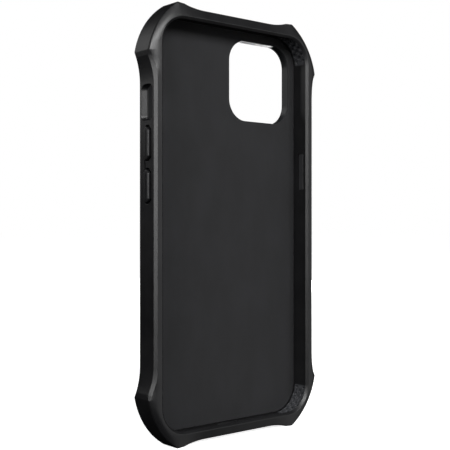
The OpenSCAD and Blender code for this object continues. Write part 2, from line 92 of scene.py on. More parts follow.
# The lining, and the corner pads with their cells
CLOTH_TRIM, CLOTH_ROUND, CLOTH_SOFT = 0.25, 0.16, 0.14
PAD_T, PAD_FRONT, PAD_BACK, PAD_TURN = 1.5, 1.2, 7.1, 80.0
PAD_CELLS, PAD_ROWS, CELL_R, CELL_DEEP = 6, 3, 0.85, 0.9
CELL_FLARE, CELL_FLARE_DEEP, CELL_TAPER = 0.15, 0.16, 0.2
CORNERS = {"top_left": (-1, 1), "top_right": (1, 1), "bottom_left": (-1, -1), "bottom_right": (1, -1)}

# The keys: each one's side, height above the middle and length, then their shape, their recess and gasket
KEYS = {"volume_up": (-1, 28.05, 11.2), "volume_down": (-1, 13.35, 11.2), "power": (1, 21.0, 16.4)}
KEY_W, KEY_PROUD, KEY_POINT, KEY_GAP = 3.2, 0.8, 1.15, 0.58
KEY_BEVEL, KEY_BEVEL_DEEP, KEY_FOOT, KEY_ROUND = 0.24, 0.17, 0.08, 0.05
KEY_FLOOR, KEY_UNDER, WEB_IN = 37.0, 37.45, 36.35
STEM_W, STEM_INSET, STEM_GAP, PAD_LIP = 1.5, 1.6, 0.15, 0.5
GASKET_IN, GASKET_SHORT = 0.15, 0.5
BRIDGE_AT, BRIDGE_W, BRIDGE_L, BRIDGE_R, BRIDGE_DEEP = 1.4, 0.6, 4.0, 0.15, 0.5

# The openings in the walls. The switch's slope is a little flatter than in the CAD, to match its shade
SWITCH_Z, SWITCH_L, SWITCH_W, SWITCH_R, SWITCH_BACK = 42.1, 12.5, 6.52, 2.0, 0.29
SWITCH_SLOPE_X, SWITCH_SLOPE_D = 1.6, 1.2
PORT_W, PORT_H, SPEAKER_AT, SPEAKER_L, SPEAKER_W, SLOT_FLAT = 12.6, 6.0, 18.5, 13.4, 2.4, 0.05

PLAY, EASE = 0.02, 0.1  # room between two parts that touch, and a small broken edge
PAST, CLEAR, OUTSIDE = 0.5, 1.0, 2.0  # how far a cutter runs past an inner face, past a plate, and outside


def at(x, depth, z):
    """A point given from the middle of the screen, in the part's frame, still in millimetres."""
    return Vector((x, SCREEN_Y + depth, MID_Z + z))


def lerp(a, b, t):
    return a + (b - a) * t


def clamp(t):
    return max(0.0, min(1.0, t))


# ---------------------------------------- mesh helpers

def soften(rings, radii, closed=False, steps=3):
    """Rounds the corners between rings of points. radii says how far each rounding runs along its faces."""
    out, n = [], len(rings)
    for k, ring in enumerate(rings):
        if not radii[k] or (not closed and k in (0, n - 1)):
            out.append(ring)
            continue
        arcs = [[] for _ in range(steps + 1)]
        for a, v, b in zip(rings[k - 1], ring, rings[(k + 1) % n]):
            d = min(radii[k], 0.42 * (a - v).length, 0.42 * (b - v).length)
            start = v + (a - v).normalized() * d
            end = v + (b - v).normalized() * d
            for j in range(steps + 1):
                t = j / steps
                arcs[j].append(start * (1 - t) ** 2 + v * (2 * t * (1 - t)) + end * (t * t))
        out += arcs
    return out


def corner(points, r):
    """Rounds every corner of a closed flat outline."""
    rings = [[Vector(p)] for p in points]
    return [ring[0] for ring in soften(rings, [r] * len(rings), True)]


def rounded(half_u, half_v, r, steps=12):
    """A rounded rectangle's outline about the origin."""
    out = []
    for k in range(4):
        cu = (half_u - r) * (1 if k in (0, 3) else -1)
        cv = (half_v - r) * (1 if k < 2 else -1)
        for i in range(steps + 1):
            a = math.radians(90 * (k + i / steps))
            out.append(Vector((cu + r * math.cos(a), cv + r * math.sin(a))))
    return out


def mesh_of(name, rings, closed=False):
    """A solid through rings of points, in millimetres: joined end to start if closed, or else capped."""
    bm = bmesh.new()
    verts = [[bm.verts.new(p) for p in ring] for ring in rings]
    n, m = len(rings), len(rings[0])
    for k in range(n if closed else n - 1):
        near, far = verts[k], verts[(k + 1) % n]
        for i in range(m):
            j = (i + 1) % m
            bm.faces.new((near[i], near[j], far[j], far[i]))
    if not closed:
        bm.faces.new(verts[0])
        bm.faces.new(list(reversed(verts[-1])))
    bmesh.ops.recalc_face_normals(bm, faces=bm.faces)
    mesh = bpy.data.meshes.new(name)
    bm.to_mesh(mesh)
    bm.free()
    obj = bpy.data.objects.new(name, mesh)
    bpy.context.scene.collection.objects.link(obj)
    return obj


def baked(obj):
    """Applies the object's modifiers to its mesh."""
    graph = bpy.context.evaluated_depsgraph_get()
    fresh = bpy.data.meshes.new_from_object(obj.evaluated_get(graph))
    obj.modifiers.clear()
    stale, obj.data = obj.data, fresh
    bpy.data.meshes.remove(stale)


def cut(obj, cutters):
    """Cuts the cutters out of the object and removes them."""
    for cutter in cutters:
        step = obj.modifiers.new("cut", "BOOLEAN")
        step.operation, step.solver, step.object = "DIFFERENCE", "EXACT", cutter
    baked(obj)
    for cutter in cutters:
        bpy.data.meshes.remove(cutter.data)


SHARP, MERGE = 38, 1e-5  # the least angle of a sharp edge, in degrees, and the shortest edge that is kept


def finished(obj, name, material, body, nodes):
    """Turns a solid in millimetres into a piece of the model, in metres, with its shading and its place."""
    obj.name = name
    mesh = obj.data
    bm = bmesh.new()
    bm.from_mesh(mesh)
    bmesh.ops.dissolve_degenerate(bm, dist=MERGE, edges=bm.edges)
    bmesh.ops.scale(bm, vec=(MM, MM, MM), verts=bm.verts)
    bm.to_mesh(mesh)
    bm.free()
    mesh.name = name
    for p in mesh.polygons:
        p.use_smooth = True
    mesh.set_sharp_from_angle(angle=math.radians(SHARP))
    even = obj.modifiers.new("even normals", "WEIGHTED_NORMAL")
    even.mode, even.keep_sharp, even.weight = "FACE_AREA", True, 50
    baked(obj)
    mesh = obj.data
    mesh.name = name
    mesh.materials.clear()
    mesh.materials.append(material)
    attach(obj, body)
    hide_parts(*nodes)
    return obj


def front_ring(outline, depth, x=0.0, z=0.0):
    """A flat outline in x and z, at a depth behind the screen."""
    return [at(x + p[0], depth, z + p[1]) for p in outline]


def wall_ring(outline, side, out, z):
    """A flat outline in depth and height, at a distance out on one side wall."""
    return [at(side * out, SIDE_MID + p[0], z + p[1]) for p in outline]


def end_ring(outline, down, x):
    """A flat outline in x and depth, at a distance down from the middle of the case."""
    return [at(x + p[0], SIDE_MID + p[1], -down) for p in outline]


# ---------------------------------------- bumper frame

def side_scoop(z):
    """How far out the side wall is at a height from the middle."""
    rise = max(0.0, z - SIDE_SCOOP_FROM)
    return SIDE_X + SIDE_SCOOP_R - math.sqrt(SIDE_SCOOP_R ** 2 - rise ** 2)


def end_scoop(x):
    """How far out the end wall is at a distance across from the middle."""
    rise = max(0.0, x - END_SCOOP_FROM)
    return END_Z + END_SCOOP_R - math.sqrt(END_SCOOP_R ** 2 - rise ** 2)


def wing_centre():
    """The centre of the arc through the two ridges of the top right wing."""
    a, b = Vector((WING_X, SIDE_RIDGE)), Vector((END_RIDGE, WING_Z))
    along, half = (b - a).normalized(), (b - a).length / 2
    return (a + b) / 2 - Vector((along.y, -along.x)) * math.sqrt(WING_R ** 2 - half ** 2)


WING_C = wing_centre()
RIDGE_ROUND, SCOOP_ROUND = 0.25, 0.5
PLAIN_Z, PLAIN_X = (8, 28, 44), 5  # where the straight walls have points


def quarter():
    """A quarter of the frame's outline as (point, how far it is rounded along the outline)."""
    scoop_steps, arc_steps = 14, 26
    pts = [(Vector((SIDE_X, z)), 0) for z in PLAIN_Z]
    for i in range(scoop_steps + 1):
        z = lerp(SIDE_SCOOP_FROM, SIDE_SCOOP_TO, i / scoop_steps)
        pts.append((Vector((side_scoop(z), z)), SCOOP_ROUND if i == scoop_steps else 0))
    a0 = math.atan2(SIDE_RIDGE - WING_C.y, WING_X - WING_C.x)
    a1 = math.atan2(WING_Z - WING_C.y, END_RIDGE - WING_C.x)
    for i in range(arc_steps + 1):
        a = lerp(a0, a1, i / arc_steps)
        p = WING_C + WING_R * Vector((math.cos(a), math.sin(a)))
        pts.append((p, RIDGE_ROUND if i in (0, arc_steps) else 0))
    for i in range(scoop_steps + 1):
        x = lerp(END_SCOOP_TO, END_SCOOP_FROM, i / scoop_steps)
        pts.append((Vector((x, end_scoop(x))), SCOOP_ROUND if i == 0 else 0))
    pts.append((Vector((PLAIN_X, END_Z)), 0))
    return pts


def outline():
    """The whole outline, once round, with each point's rounding."""
    q = quarter()

    def turned(sx, sz):
        return [(Vector((sx * p.x, sz * p.y)), r) for p, r in q]

    return turned(1, 1) + turned(-1, 1)[::-1] + turned(-1, -1) + turned(1, -1)[::-1]


NEAR = 0.01


def zone(p):
    """0 on a long wall, 1 on a wing and 2 on an end wall."""
    if abs(p.y) < SIDE_RIDGE - NEAR:
        return 0
    return 2 if abs(p.x) < END_RIDGE - NEAR else 1


def side_rise(p):
    """How far an outline point on a long wall is up the scoop, from 0 to 1 at the ridge."""
    return clamp((abs(p.y) - SIDE_SCOOP_FROM) / (SIDE_RIDGE - SIDE_SCOOP_FROM))


def end_rise(p):
    """The same on an end wall."""
    return clamp((abs(p.x) - END_SCOOP_FROM) / (END_RIDGE - END_SCOOP_FROM))


def wing_turn(p):
    """How far an outline point is round a wing, from 0 at its side ridge to 1 at its end ridge."""
    return clamp((abs(p.y) - SIDE_RIDGE) / (WING_Z - SIDE_RIDGE))


def between(pairs, t):
    """Straight steps through (t, value) pairs."""
    for (t0, v0), (t1, v1) in zip(pairs, pairs[1:]):
        if t <= t1:
            return lerp(v0, v1, (t - t0) / (t1 - t0))
    return pairs[-1][1]


# The front bevel along a scoop, by share of the rise to the wing: its width, and its outer edge's depth
BEVEL_WIDTH = ((0, 0.93), (0.38, 1.04), (0.84, 0.8), (1, 0.28))
EDGE_DEPTH = ((0, 0.3), (0.38, 0.6), (0.84, 1.45), (1, 0.7))
END_EDGE_DEPTH = ((0, 0.5), (0.4, 0.6), (0.777, 1.1), (1, 0.5))
WING_CREASE, FOLD_AT_SIDE, FOLD_AT_END, FOLD_FROM = 0.28, 0.05, 0.25, 0.2
SIDE_TIP, END_TIP = 0.84, 0.777
WING_REAR_OUT = 0.6
FACE_REACH, FACE_EVEN, FACE_STEPS = 1.25, 2.2, 6


def edge_depth(p):
    """The depth of the outer wall's front edge."""
    if zone(p) == 0:
        return between(EDGE_DEPTH, side_rise(p))
    if zone(p) == 2:
        return between(END_EDGE_DEPTH, end_rise(p))
    return lerp(EDGE_DEPTH[-1][1], END_EDGE_DEPTH[-1][1], wing_turn(p))


def rear_depth(p):
    """The depth of the outer wall's rear edge, which lies further back on the wings."""
    if zone(p) == 1:
        return REAR_EDGE + WING_REAR_OUT
    rise, tip = (side_rise(p), SIDE_TIP) if zone(p) == 0 else (end_rise(p), END_TIP)
    return REAR_EDGE + WING_REAR_OUT * clamp((rise - tip) / (1 - tip))


def crease(p):
    """The crease of the front face, in from the outline, as (point, depth)."""
    away = Vector((math.copysign(1, p.x), math.copysign(1, p.y)))
    if zone(p) == 0:
        t = clamp((side_rise(p) - FOLD_FROM) / (1 - FOLD_FROM))
        depth = lerp(-LIP, FOLD_AT_SIDE, t * t * (3 - 2 * t))
        return p - Vector((away.x * between(BEVEL_WIDTH, side_rise(p)), 0)), depth
    if zone(p) == 2:
        return p - Vector((0, away.y * WING_CREASE)), FOLD_AT_END
    inward = (WING_C - Vector((abs(p.x), abs(p.y)))).normalized()
    move = Vector((away.x * inward.x, away.y * inward.y)) * WING_CREASE
    return p + move, lerp(FOLD_AT_SIDE, FOLD_AT_END, wing_turn(p))


def roll(fold, lip, flat):
    """The front face from its crease to the lip: a convex roll that starts steep, or a slope if flat is 1.

    It bends no further than FACE_EVEN from the lip, so that the wing's tips do not crease the face.
    """
    across = Vector((lip.x - fold.x, 0, lip.z - fold.z))
    run = max(min(FACE_REACH, 0.6 * across.length), across.length - FACE_EVEN)
    bend = fold + across.normalized() * run
    bend.y = lip.y
    bend = bend.lerp((fold + lip) / 2, flat)
    out = []
    for i in range(1, FACE_STEPS):
        t = i / FACE_STEPS
        out.append(fold * (1 - t) ** 2 + bend * (2 * t * (1 - t)) + lip * (t * t))
    return out


def level(p, half_x, half_z, r):
    """The point of a rounded rectangle that lies level with an outline point."""
    q, c = Vector((abs(p.x), abs(p.y))), Vector((half_x - r, half_z - r))
    if q.y <= c.y:
        e = Vector((half_x, q.y))
    elif q.x <= c.x:
        e = Vector((q.x, half_z))
    else:
        e = c + r * (q - c).normalized()
    return Vector((math.copysign(e.x, p.x), math.copysign(e.y, p.y)))


def section(p):
    """The frame's section at an outline point, as points in the part's frame with each one's rounding."""
    def ring(half_x, half_z, r, depth):
        e = level(p, half_x, half_z, r)
        return at(e.x, depth, e.y)

    fold, fold_depth = crease(p)
    slope, land = LIP_SLOPE, LIP_SLOPE + LIP_LAND
    ledge = (POCKET_X - LEDGE, POCKET_Z - LEDGE, POCKET_R - LEDGE)
    fold_at = at(fold.x, fold_depth, fold.y)
    lip_at = ring(MOUTH_X + land, MOUTH_Z + land, MOUTH_R + land, -LIP)
    return [
        (ring(*ledge, BACK_AT), 0.15),
        (ring(SIDE_X - REAR_BEVEL, END_Z - REAR_BEVEL, BACK_R, BACK_AT), 0.35),
        (at(p.x, rear_depth(p), p.y), 0.32),
        (at(p.x, edge_depth(p), p.y), 0.26),
        (fold_at, 0.06),
        *((q, 0) for q in roll(fold_at, lip_at, (0, wing_turn(p) ** 4, 1)[zone(p)])),
        (lip_at, 0.07),
        (ring(MOUTH_X + slope, MOUTH_Z + slope, MOUTH_R + slope, -LIP), 0.07),
        (ring(MOUTH_X, MOUTH_Z, MOUTH_R, 0), 0.12),
        (ring(POCKET_X, POCKET_Z, POCKET_R, 0), 0),
        (ring(POCKET_X, POCKET_Z, POCKET_R, SHELL_AT), 0),
        (ring(*ledge, SHELL_AT), 0.1),
    ]


def octagon(half_u, half_v, point):
    """A long bar with pointed ends, as eight corners."""
    u, v, c = half_u, half_v, point
    upper = [(-u, v - c), (c - u, v), (u - c, v), (u, v - c)]
    return upper + [(u, c - v), (u - c, -v), (c - u, -v), (-u, c - v)]


# A cutter's rounded mouth, from its inner end out to the wall's face, as (how far down, how much wider)
MOUTH_ROUNDING = ((0.16, 0.0), (0.08, 0.02), (0.02, 0.07), (0.0, 0.15))


def mouth(ring, face):
    """The rings of a cutter's rounded mouth, from outside the case inwards. ring(grow, out) makes one."""
    outside = ring(MOUTH_ROUNDING[-1][1], face + OUTSIDE)
    return [outside] + [ring(grow, face - down) for down, grow in reversed(MOUTH_ROUNDING)]


def stem_outline(half_u, half_v):
    """A key's stem, or a slot for it."""
    return corner(octagon(half_u, half_v, 0.3), 0.1)


def key_cutter(side, z, length):
    """The recess, the stem's slot and the inner pocket of one key, as one stepped solid."""
    slot_u, slot_v = STEM_W / 2 + STEM_GAP, length / 2 - STEM_INSET + STEM_GAP
    slot = stem_outline(slot_u, slot_v)
    pocket = stem_outline(slot_u + PAD_LIP, slot_v + PAD_LIP)

    def recess(grow, out):
        bar = octagon(KEY_W / 2 + KEY_GAP + grow, length / 2 + KEY_GAP + grow, KEY_POINT + 0.3)
        return wall_ring(corner(bar, 0.35), side, out, z)

    rings = mouth(recess, SIDE_X) + [recess(0, KEY_FLOOR)]
    steps = ((slot, KEY_FLOOR), (slot, WEB_IN), (pocket, WEB_IN), (pocket, POCKET_X - PAST))
    return mesh_of("key cutter", rings + [wall_ring(shape, side, out, z) for shape, out in steps])


def bridge_cutter():
    """The short groove that joins the two volume keys' recesses."""
    z = (KEYS["volume_up"][1] + KEYS["volume_down"][1]) / 2
    shape = [(p.x + BRIDGE_AT, p.y) for p in rounded(BRIDGE_W / 2, BRIDGE_L / 2, BRIDGE_R, 4)]
    return mesh_of("bridge", [wall_ring(shape, -1, SIDE_X + out, z) for out in (OUTSIDE, -BRIDGE_DEEP)])


def switch_cutter():
    """The ring switch's opening, its mouth rounded and its rear wall sloped inwards for a fingertip."""
    def shape(grow, out, narrow=0.0):
        outline = rounded(SWITCH_W / 2 + grow, SWITCH_L / 2 + grow, SWITCH_R + grow)
        moved = [(p.x + SWITCH_BACK - (narrow if p.x > 0 else 0), p.y) for p in outline]
        return wall_ring(moved, -1, out, SWITCH_Z)

    inner = [shape(0, out, SWITCH_SLOPE_D) for out in (SIDE_X - SWITCH_SLOPE_X, POCKET_X - PAST)]
    return mesh_of("switch cutter", mouth(shape, SIDE_X) + inner)


def end_cutter(x, width, height):
    """A slot through the bottom wall, its mouth rounded."""
    def shape(grow, down):
        u, v = width / 2 + grow, height / 2 + grow
        return end_ring(rounded(u, v, v - SLOT_FLAT), down, x)

    return mesh_of("end cutter", mouth(shape, END_Z) + [shape(0, POCKET_Z - CLEAR)])


def pad_centre(sx, sz):
    """The centre of the arc in one corner of the pocket."""
    return sx * (POCKET_X - POCKET_R), sz * (POCKET_Z - POCKET_R)


def pad_angle(share):
    """The angle at a share of a pad's turn."""
    return math.radians((90 - PAD_TURN) / 2 + PAD_TURN * share)


def pad_block(name, sx, sz, r_in, r_out, front, back):
    """A slab that follows one corner of the pocket."""
    cx, cz = pad_centre(sx, sz)
    box = [(r_in, front), (r_out, front), (r_out, back), (r_in, back)]
    steps, rings = 20, []
    for i in range(steps + 1):
        a = pad_angle(i / steps)
        u, v = sx * math.cos(a), sz * math.sin(a)
        rings.append([at(cx + r * u, depth, cz + r * v) for r, depth in box])
    return mesh_of(name, rings)


def pad_room(sx, sz):
    """The recess for a corner pad, open to the pocket."""
    r_in, r_out = POCKET_R - PAST - EASE, POCKET_R + PAD_T + PLAY
    return pad_block("pad room", sx, sz, r_in, r_out, PAD_FRONT - PLAY, PAD_BACK + PLAY)


def bumper_frame(material):
    """The rubber frame: its section swept round the outline, less every opening in it."""
    stations = [(section(p), mark) for p, mark in outline()]
    rows = [[p for p, _ in s] for s, _ in stations]
    rows = soften(rows, [mark for _, mark in stations], True, 4)
    radii = [r for _, r in stations[0][0]]
    rings = [list(ring) for ring in zip(*rows)]
    rings = soften(rings, radii, True, 3)
    obj = mesh_of("bumper_frame", rings, closed=True)
    cutters = [key_cutter(*spec) for spec in KEYS.values()]
    cutters += [bridge_cutter(), switch_cutter(), end_cutter(0, PORT_W, PORT_H)]
    cutters += [end_cutter(x, SPEAKER_L, SPEAKER_W) for x in (-SPEAKER_AT, SPEAKER_AT)]
    cutters += [pad_room(sx, sz) for sx in (-1, 1) for sz in (-1, 1)]
    cut(obj, cutters)
    finished(obj, "bumper_frame_skin", material, "case", ["bumper_frame"])


# ---------------------------------------- back

def camera_ring(grow, depth):
    """The camera opening's outline, made wider by grow, at a depth."""
    half = CAMERA_HALF + grow
    return front_ring(rounded(half, half, CAMERA_R + grow), depth, CAMERA_X, CAMERA_Z)


def camera_cutter(profile):
    """A solid round the camera opening, through (grow, depth) pairs."""
    return mesh_of("camera cutter", [camera_ring(grow, depth) for grow, depth in profile])


def plate(name, half_x, half_z, r, profile, radii):
    """A plate with a rounded outline. profile is a list of (offset, depth), from one cap to the other."""
    rings = [front_ring(rounded(half_x + o, half_z + o, r + o, 14), d) for o, d in profile]
    return mesh_of(name, soften(rings, radii))


def back_shell(material):
    """The hard back plate, less the inlay's recess and the camera opening."""
    inset = LEDGE + PLAY
    obj = plate("back_shell", POCKET_X - inset, POCKET_Z - inset, POCKET_R - inset,
                [(0, SHELL_AT), (0, BACK_AT - EASE), (-EASE, BACK_AT)], [0, 0, 0])
    recess = plate("recess", INLAY_X + EASE, INLAY_Z + EASE, INLAY_R + EASE,
                   [(0, ADHESIVE_AT), (0, BACK_AT - INLAY_ROUND), (INLAY_ROUND, BACK_AT),
                    (INLAY_ROUND, BACK_AT + CLEAR)], [0, 0, 0, 0])
    edge = GUARD_RIM + INLAY_CLEAR - EASE
    island = camera_cutter([(edge, ADHESIVE_AT - CLEAR), (edge, BACK_AT - EASE),
                            (edge - INLAY_ROUND, BACK_AT + OUTSIDE)])
    cut(recess, [island])
    neck = BACK_AT - GUARD_NECK
    camera = camera_cutter([(0, SHELL_AT - CLEAR), (0, neck),
                            (GUARD_NECK, neck), (GUARD_NECK, BACK_AT + CLEAR)])
    cut(obj, [recess, camera])
    finished(obj, "back_shell_plate", material, "case", ["back_shell"])


def back_inlay(material):
    """The woven inlay, notched round the camera guard."""
    top, bevel = INLAY_AT + INLAY_T, INLAY_BEVEL
    obj = plate("back_inlay", INLAY_X, INLAY_Z, INLAY_R,
                [(0, INLAY_AT), (0, top), (-INLAY_ROUND, top)], [0, 0.08, 0])
    edge = GUARD_RIM + INLAY_CLEAR
    notch = camera_cutter([(edge, INLAY_AT - CLEAR), (edge, top - bevel),
                           (edge + bevel, top), (edge + bevel, INLAY_AT + CLEAR)])
    cut(obj, [notch])
    finished(obj, "back_inlay_twill", material, "case", ["back_inlay"])


def pocket_lining(material):
    """The cloth on the inside of the back, with a soft front edge."""
    obj = plate("pocket_lining", POCKET_X - CLOTH_TRIM, POCKET_Z - CLOTH_TRIM, POCKET_R - CLOTH_TRIM,
                [(-CLOTH_ROUND, LINING_AT), (0, LINING_AT), (0, SHELL_AT)], [0, CLOTH_SOFT, 0])
    camera = camera_cutter([(CLOTH_ROUND, LINING_AT - CLEAR), (CLOTH_ROUND, LINING_AT),
                            (0, LINING_AT + CLOTH_SOFT), (0, SHELL_AT + CLEAR)])
    cut(obj, [camera])
    piece = finished(obj, "pocket_lining_cloth", material, "case", ["pocket_lining"])


def camera_hoop(name, profile):
    """A hoop round the camera opening. profile is a closed list of (grow, depth, rounding)."""
    rings = [camera_ring(grow, depth) for grow, depth, _ in profile]
    return mesh_of(name, soften(rings, [r for _, _, r in profile], True, 4), closed=True)


def camera_guard(material):
    """The raised rim round the camera opening."""
    neck, chamfer = GUARD_NECK, GUARD_CHAMFER
    profile = [
        (0, BACK_AT - neck, 0), (neck, BACK_AT - neck, 0), (neck, BACK_AT, 0), (GUARD_RIM, BACK_AT, 0.1),
        (GUARD_RIM, GUARD_AT - chamfer, 0.5), (GUARD_RIM - chamfer, GUARD_AT, 0.5),
        (TRIM_W, GUARD_AT, 0.06), (TRIM_W, GUARD_AT - TRIM_T, 0), (0, GUARD_AT - TRIM_T, 0.06),
    ]
    obj = camera_hoop("camera_guard", profile)
    finished(obj, "camera_guard_rim", material, "case", ["camera_guard"])


def camera_trim(material):
    """The metal hoop that is let into the guard's inner edge."""
    front, back = GUARD_AT - TRIM_T, GUARD_AT - TRIM_SUNK
    profile = [(0, front, 0), (TRIM_W, front, 0), (TRIM_W, back, 0.08), (0, back, 0.1)]
    obj = camera_hoop("camera_trim", profile)
    finished(obj, "camera_trim_ring", material, "case", ["camera_trim"])


# ---------------------------------------- keys, gaskets and pads

def key_solid(name, material):
    """A key's bevelled cap and the stem behind it."""
    side, z, length = KEYS[name]
    top = SIDE_X + KEY_PROUD

    def bar(shrink):
        shape = octagon(KEY_W / 2 - shrink, length / 2 - shrink, KEY_POINT - 0.4 * shrink)
        return corner(shape, 0.22)

    stem = stem_outline(STEM_W / 2, length / 2 - STEM_INSET)
    spec = [
        (stem, WEB_IN - PLAY, 0), (stem, KEY_UNDER, 0),
        (bar(KEY_FOOT), KEY_UNDER, 0), (bar(0), KEY_UNDER + EASE, KEY_ROUND),
        (bar(0), top - KEY_BEVEL_DEEP, KEY_ROUND), (bar(KEY_BEVEL), top, KEY_ROUND), (bar(1), top, 0),
    ]
    rings = soften([wall_ring(o, side, w, z) for o, w, _ in spec], [r for _, _, r in spec])
    obj = mesh_of(name, rings)
    finished(obj, name + "_key_cap", material, name, [name + "_key"])


def key_gasket(name, material):
    """The soft ring under a key, which the key squeezes as it goes in; it is made here in its rest shape.
    """
    side, z, length = KEYS[name]
    outer = corner(octagon(KEY_W / 2 - GASKET_IN, length / 2 - GASKET_SHORT, KEY_POINT), 0.1)
    inner = stem_outline(STEM_W / 2 + EASE, length / 2 - STEM_INSET + EASE)
    spec = [(inner, KEY_FLOOR), (outer, KEY_FLOOR), (outer, KEY_UNDER), (inner, KEY_UNDER)]
    obj = mesh_of(name, [wall_ring(o, side, w, z) for o, w in spec], closed=True)
    piece = finished(obj, name + "_gasket_ring", material, "case", [name + "_gasket"])
    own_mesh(piece)


def key_pad(name, material):
    """The pad on a key's stem that presses the phone's own button."""
    side, z, length = KEYS[name]
    reach_u, reach_v = STEM_W / 2 + PAD_LIP, length / 2 - STEM_INSET + PAD_LIP
    shape, inset = stem_outline(reach_u, reach_v), stem_outline(reach_u - EASE, reach_v - EASE)
    front = POCKET_X + 2 * PLAY
    spec = [(inset, front), (shape, front + EASE), (shape, WEB_IN - PLAY)]
    obj = mesh_of(name, [wall_ring(o, side, w, z) for o, w in spec])
    finished(obj, name + "_pad_block", material, name, [name + "_pad"])


def pad_cell(sx, sz, share, depth):
    """A round blind hole in a corner pad, with a rounded mouth and a tapered floor."""
    a, middle, points = pad_angle(share), Vector(pad_centre(sx, sz)), 20
    away = Vector((sx * math.cos(a), sz * math.sin(a)))
    across = Vector((-away.y, away.x))

    def ring(r, size):
        turns = [2 * math.pi * i / points for i in range(points)]
        spots = [(middle + away * r + across * (size * math.cos(a)), size * math.sin(a)) for a in turns]
        return [at(p.x, depth + back, p.y) for p, back in spots]

    wide, end = CELL_R + CELL_FLARE, POCKET_R + CELL_DEEP
    return mesh_of("cell", [
        ring(POCKET_R - CLEAR, wide), ring(POCKET_R + PLAY, wide), ring(POCKET_R + CELL_FLARE_DEEP, CELL_R),
        ring(end - CELL_TAPER, CELL_R), ring(end, CELL_R - CELL_TAPER),
    ])


def corner_pad(name, sx, sz, material):
    """A shock pad in one corner of the pocket, with staggered rows of cells."""
    obj = pad_block(name, sx, sz, POCKET_R, POCKET_R + PAD_T, PAD_FRONT, PAD_BACK)
    cutters = []
    for row in range(PAD_ROWS):
        odd, depth = row % 2, lerp(PAD_FRONT, PAD_BACK, (row + 0.5) / PAD_ROWS)
        for cell in range(PAD_CELLS - odd):
            cutters.append(pad_cell(sx, sz, (cell + 0.5 + 0.5 * odd) / PAD_CELLS, depth))
    cut(obj, cutters)
    piece = finished(obj, name + "_block", material, "case", [name])


# ---------------------------------------- materials

class Nodes:
    """A material's node tree, built a line at a time."""

    def __init__(self, name, colour, roughness, metallic=0.0, **extra):
        self.material = bpy.data.materials.new(name)
        self.material.use_nodes = True
        self.tree = self.material.node_tree
        self.shader = self.tree.nodes["Principled BSDF"]
        self.shader.inputs["Base Color"].default_value = (*colour, 1)
        self.shader.inputs["Roughness"].default_value = roughness
        self.shader.inputs["Metallic"].default_value = metallic
        for key, value in extra.items():
            self.shader.inputs[key.replace("_", " ")].default_value = value
        self.place = self.add("ShaderNodeTexCoord").outputs["Object"]

    def add(self, kind, **settings):
        node = self.tree.nodes.new(kind)
        for key, value in settings.items():
            setattr(node, key, value)
        return node

    def feed(self, socket, value):
        if isinstance(value, bpy.types.NodeSocket):
            self.tree.links.new(value, socket)
        else:
            socket.default_value = value

    def math(self, operation, a, b=0.0):
        node = self.add("ShaderNodeMath", operation=operation)
        self.feed(node.inputs[0], a)
        self.feed(node.inputs[1], b)
        return node.outputs[0]

    def noise(self, size, detail=2.0, roughness=0.5, stretch=None):
        """Noise whose grains are about size metres across."""
        node = self.add("ShaderNodeTexNoise")
        where = self.place
        if stretch:
            mapping = self.add("ShaderNodeMapping")
            mapping.inputs["Scale"].default_value = stretch
            self.feed(mapping.inputs["Vector"], self.place)
            where = mapping.outputs[0]
        self.feed(node.inputs["Vector"], where)
        node.inputs["Scale"].default_value = 1 / size
        node.inputs["Detail"].default_value = detail
        node.inputs["Roughness"].default_value = roughness
        return node.outputs["Fac"]

    def cells(self, size):
        node = self.add("ShaderNodeTexVoronoi")
        self.feed(node.inputs["Vector"], self.place)
        node.inputs["Scale"].default_value = 1 / size
        return node.outputs["Distance"]

    def spread(self, value, low, high, a=0.0, b=1.0):
        """Maps a to b onto low to high."""
        node = self.add("ShaderNodeMapRange")
        self.feed(node.inputs["Value"], value)
        for key, number in (("From Min", a), ("From Max", b), ("To Min", low), ("To Max", high)):
            node.inputs[key].default_value = number
        return node.outputs[0]

    def tint(self, fac, dark, light):
        node = self.add("ShaderNodeMix", data_type="RGBA")
        self.feed(node.inputs[0], fac)
        node.inputs[6].default_value = (*dark, 1)
        node.inputs[7].default_value = (*light, 1)
        return node.outputs[2]

    def colour(self, value):
        self.feed(self.shader.inputs["Base Color"], value)

    def rough(self, value):
        self.feed(self.shader.inputs["Roughness"], value)

    def relief(self, height, depth, strength, under=None):
        """Bumps the surface by a height from 0 to 1, depth metres high. under is a bump that it lies on."""
        node = self.add("ShaderNodeBump")
        node.inputs["Distance"].default_value = depth
        node.inputs["Strength"].default_value = strength
        self.feed(node.inputs["Height"], height)
        if under is not None:
            self.feed(node.inputs["Normal"], under)
        self.feed(self.shader.inputs["Normal"], node.outputs[0])
        return node.outputs[0]


# Moulded rubber and plastic: name, two colours, roughness, then the grain's size and depth in metres
MOULDED = (
    ("bumper rubber", (0.0045, 0.0045, 0.005), (0.0062, 0.0062, 0.0068), 0.38, 0.00022, 0.000009),
    ("shell plastic", (0.014, 0.0145, 0.016), (0.018, 0.0185, 0.02), 0.42, 0.0003, 0.00001),
    ("guard plastic", (0.012, 0.0125, 0.0135), (0.015, 0.0155, 0.017), 0.34, 0.00026, 0.000006),
    ("key plastic", (0.005, 0.005, 0.0056), (0.0068, 0.0068, 0.0076), 0.4, 0.0002, 0.000004),
    ("key rubber", (0.01, 0.01, 0.011), (0.013, 0.013, 0.0145), 0.6, 0.0003, 0.00001),
    ("pad elastomer", (0.024, 0.025, 0.028), (0.032, 0.033, 0.037), 0.62, 0.0004, 0.00002),
    ("carrier plastic", (0.11, 0.11, 0.12), (0.13, 0.13, 0.14), 0.5, 0.0003, 0.00001),
)


